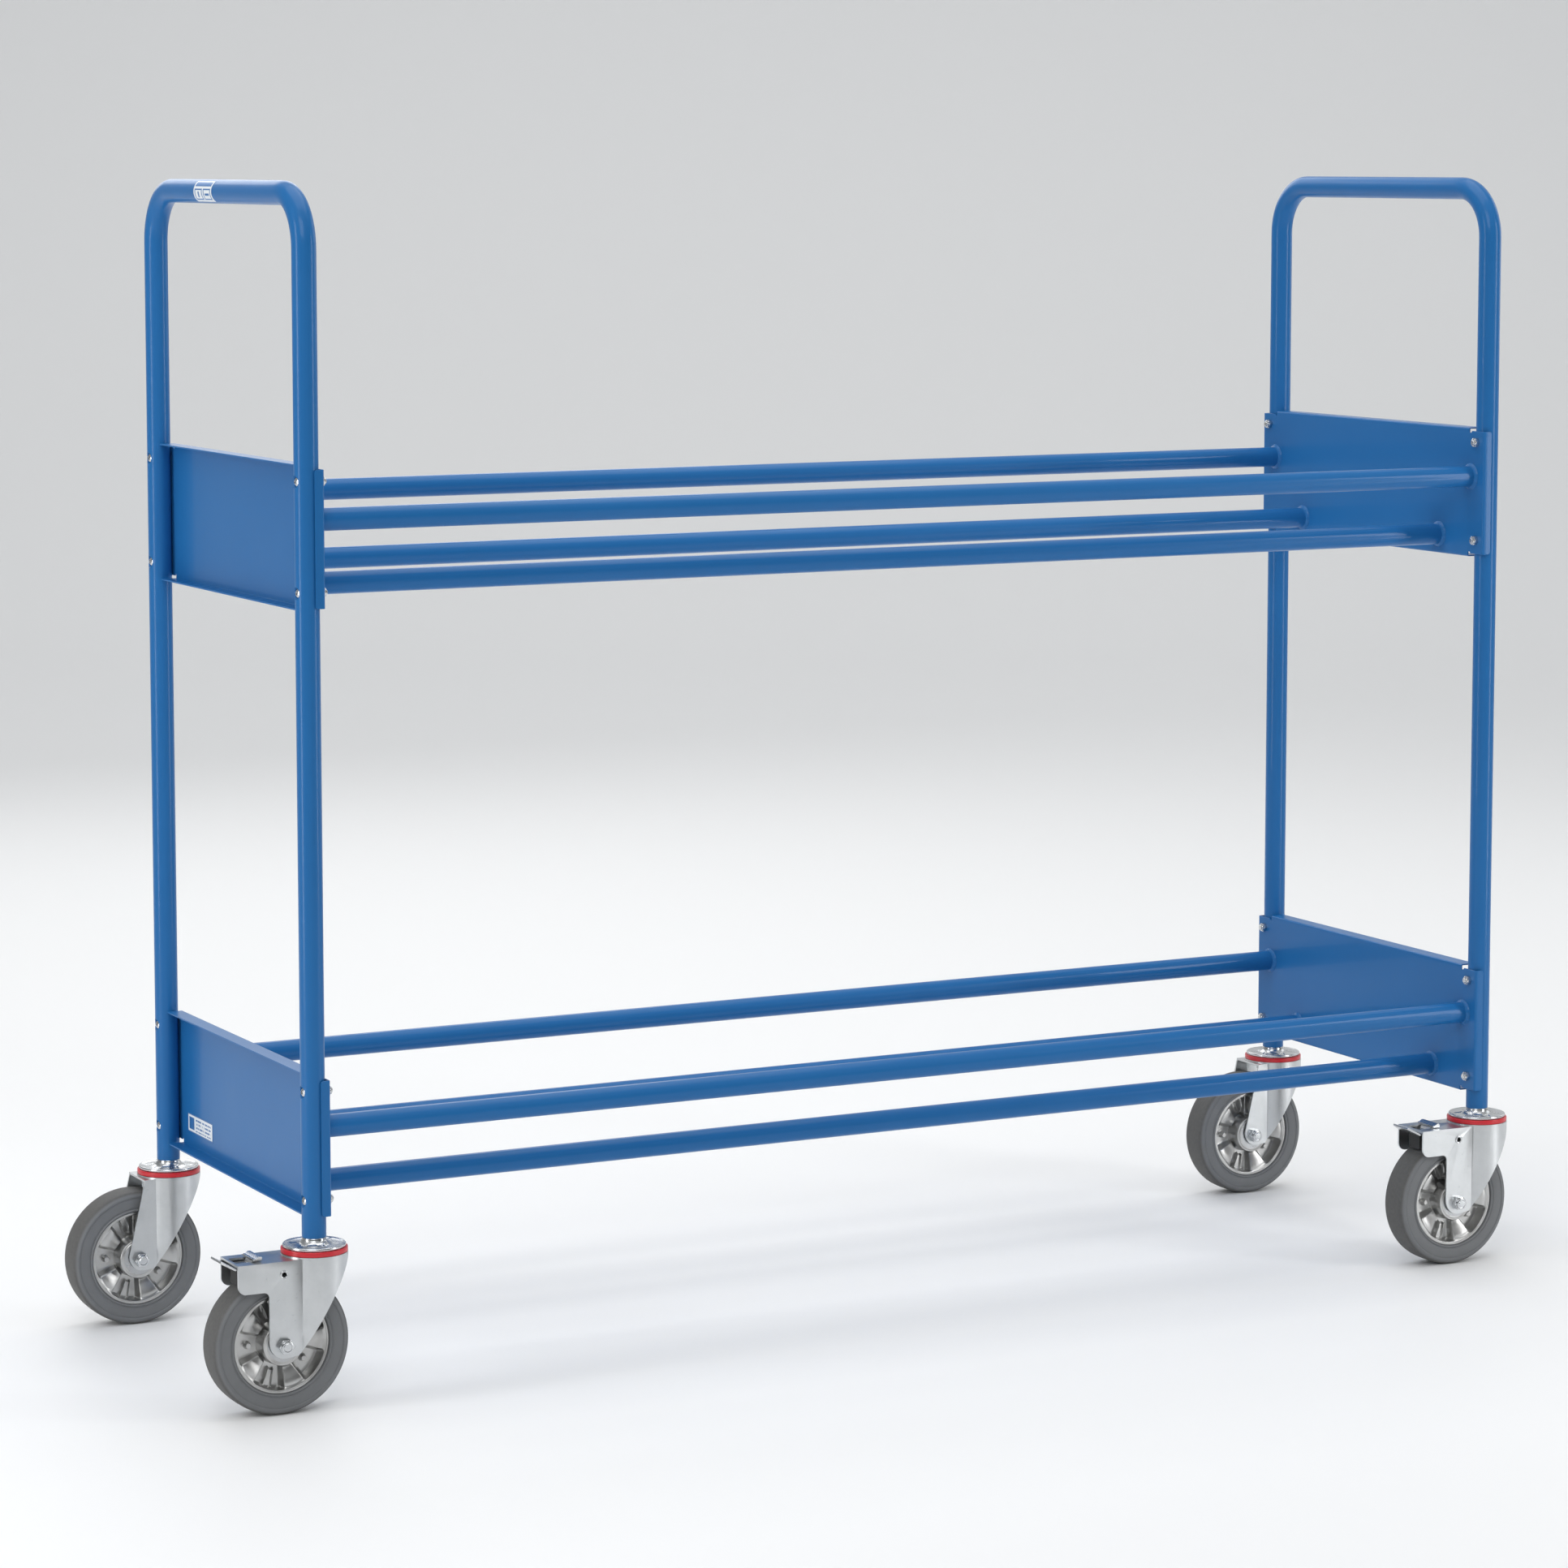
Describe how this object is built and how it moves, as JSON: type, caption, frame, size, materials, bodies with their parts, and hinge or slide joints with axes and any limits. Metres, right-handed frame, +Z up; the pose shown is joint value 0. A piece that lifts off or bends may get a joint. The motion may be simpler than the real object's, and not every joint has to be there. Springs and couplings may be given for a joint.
{
  "type": "tyre storage rack",
  "caption": "Blue two-level tyre trolley: two inverted U end frames, four bolted panels, eight rails, four swivel casters, the front two with pedal brakes.",
  "frame": {"origin": "on the floor under the middle of the rack", "axes": "+Z up, -Y towards the front side with the two braked casters, X along the rails"},
  "size_m": [2.161, 0.674, 1.691],
  "materials": {
    "blue_coat": "glossy powder coat",
    "zinc": "bright zinc plated",
    "steel": "ground",
    "cast_alu": "die cast",
    "grey_rubber": "matt non-marking rubber",
    "black_rubber": "matt",
    "red_plastic": "satin",
    "label": "printed film"
  },
  "bodies": {
    "rack": {"left_end_frame": "blue_coat", "right_end_frame": "blue_coat", "upper_left_panel": "blue_coat", "upper_right_panel": "blue_coat", "lower_left_panel": "blue_coat", "lower_right_panel": "blue_coat", "upper_front_guard_rail": "blue_coat", "upper_rear_guard_rail": "blue_coat", "upper_front_support_rail": "blue_coat", "upper_rear_support_rail": "blue_coat", "lower_front_guard_rail": "blue_coat", "lower_rear_guard_rail": "blue_coat", "lower_front_support_rail": "blue_coat", "lower_rear_support_rail": "blue_coat", "rail_weld_beads": "blue_coat", "panel_bolts": "zinc", "panel_nuts": "zinc", "handle_label": "label", "data_label": "label", "leg_plugs": "steel", "caster_fixing_bolts": "zinc", "kingpins": "zinc", "swivel_top_plates": "zinc", "lower_race_plates": "zinc"},
    "front_left_swivel": {"front_left_seal_ring": "red_plastic", "front_left_race_balls": "steel", "front_left_fork": "zinc", "front_left_axle_set": "zinc", "front_left_brake_pin": "steel"},
    "front_left_wheel": {"front_left_bearings": "steel", "front_left_rim": "cast_alu", "front_left_tyre": "grey_rubber"},
    "front_right_swivel": {"front_right_seal_ring": "red_plastic", "front_right_race_balls": "steel", "front_right_fork": "zinc", "front_right_axle_set": "zinc", "front_right_brake_pin": "steel"},
    "front_right_wheel": {"front_right_bearings": "steel", "front_right_rim": "cast_alu", "front_right_tyre": "grey_rubber"},
    "rear_left_swivel": {"rear_left_seal_ring": "red_plastic", "rear_left_race_balls": "steel", "rear_left_fork": "zinc", "rear_left_axle_set": "zinc"},
    "rear_left_wheel": {"rear_left_bearings": "steel", "rear_left_rim": "cast_alu", "rear_left_tyre": "grey_rubber"},
    "rear_right_swivel": {"rear_right_seal_ring": "red_plastic", "rear_right_race_balls": "steel", "rear_right_fork": "zinc", "rear_right_axle_set": "zinc"},
    "rear_right_wheel": {"rear_right_bearings": "steel", "rear_right_rim": "cast_alu", "rear_right_tyre": "grey_rubber"},
    "front_left_brake": {"front_left_brake_pedal": "zinc", "front_left_brake_shoe": "black_rubber"},
    "front_right_brake": {"front_right_brake_pedal": "zinc", "front_right_brake_shoe": "black_rubber"}
  },
  "joints": [
    {"name": "front_left_swivel_turn", "type": "hinge", "parent": "rack", "child": "front_left_swivel", "pos_m": [-0.978, -0.29, 0.22], "axis": [0, 0, 1], "continuous": true},
    {"name": "front_left_wheel_spin", "type": "hinge", "parent": "front_left_swivel", "child": "front_left_wheel", "pos_m": [-1.036, -0.29, 0.1], "axis": [0, 1, 0], "continuous": true},
    {"name": "front_right_swivel_turn", "type": "hinge", "parent": "rack", "child": "front_right_swivel", "pos_m": [0.978, -0.29, 0.22], "axis": [0, 0, 1], "continuous": true},
    {"name": "front_right_wheel_spin", "type": "hinge", "parent": "front_right_swivel", "child": "front_right_wheel", "pos_m": [0.92, -0.29, 0.1], "axis": [0, 1, 0], "continuous": true},
    {"name": "rear_left_swivel_turn", "type": "hinge", "parent": "rack", "child": "rear_left_swivel", "pos_m": [-0.978, 0.29, 0.22], "axis": [0, 0, 1], "continuous": true},
    {"name": "rear_left_wheel_spin", "type": "hinge", "parent": "rear_left_swivel", "child": "rear_left_wheel", "pos_m": [-1.036, 0.29, 0.1], "axis": [0, 1, 0], "continuous": true},
    {"name": "rear_right_swivel_turn", "type": "hinge", "parent": "rack", "child": "rear_right_swivel", "pos_m": [0.978, 0.29, 0.22], "axis": [0, 0, 1], "continuous": true},
    {"name": "rear_right_wheel_spin", "type": "hinge", "parent": "rear_right_swivel", "child": "rear_right_wheel", "pos_m": [0.92, 0.29, 0.1], "axis": [0, 1, 0], "continuous": true},
    {"name": "front_left_brake_press", "type": "hinge", "parent": "front_left_swivel", "child": "front_left_brake", "pos_m": [-1.078, -0.29, 0.208], "axis": [0, -1, 0], "range_deg": [0, 9]},
    {"name": "front_right_brake_press", "type": "hinge", "parent": "front_right_swivel", "child": "front_right_brake", "pos_m": [0.878, -0.29, 0.208], "axis": [0, -1, 0], "range_deg": [0, 9]}
  ]
}
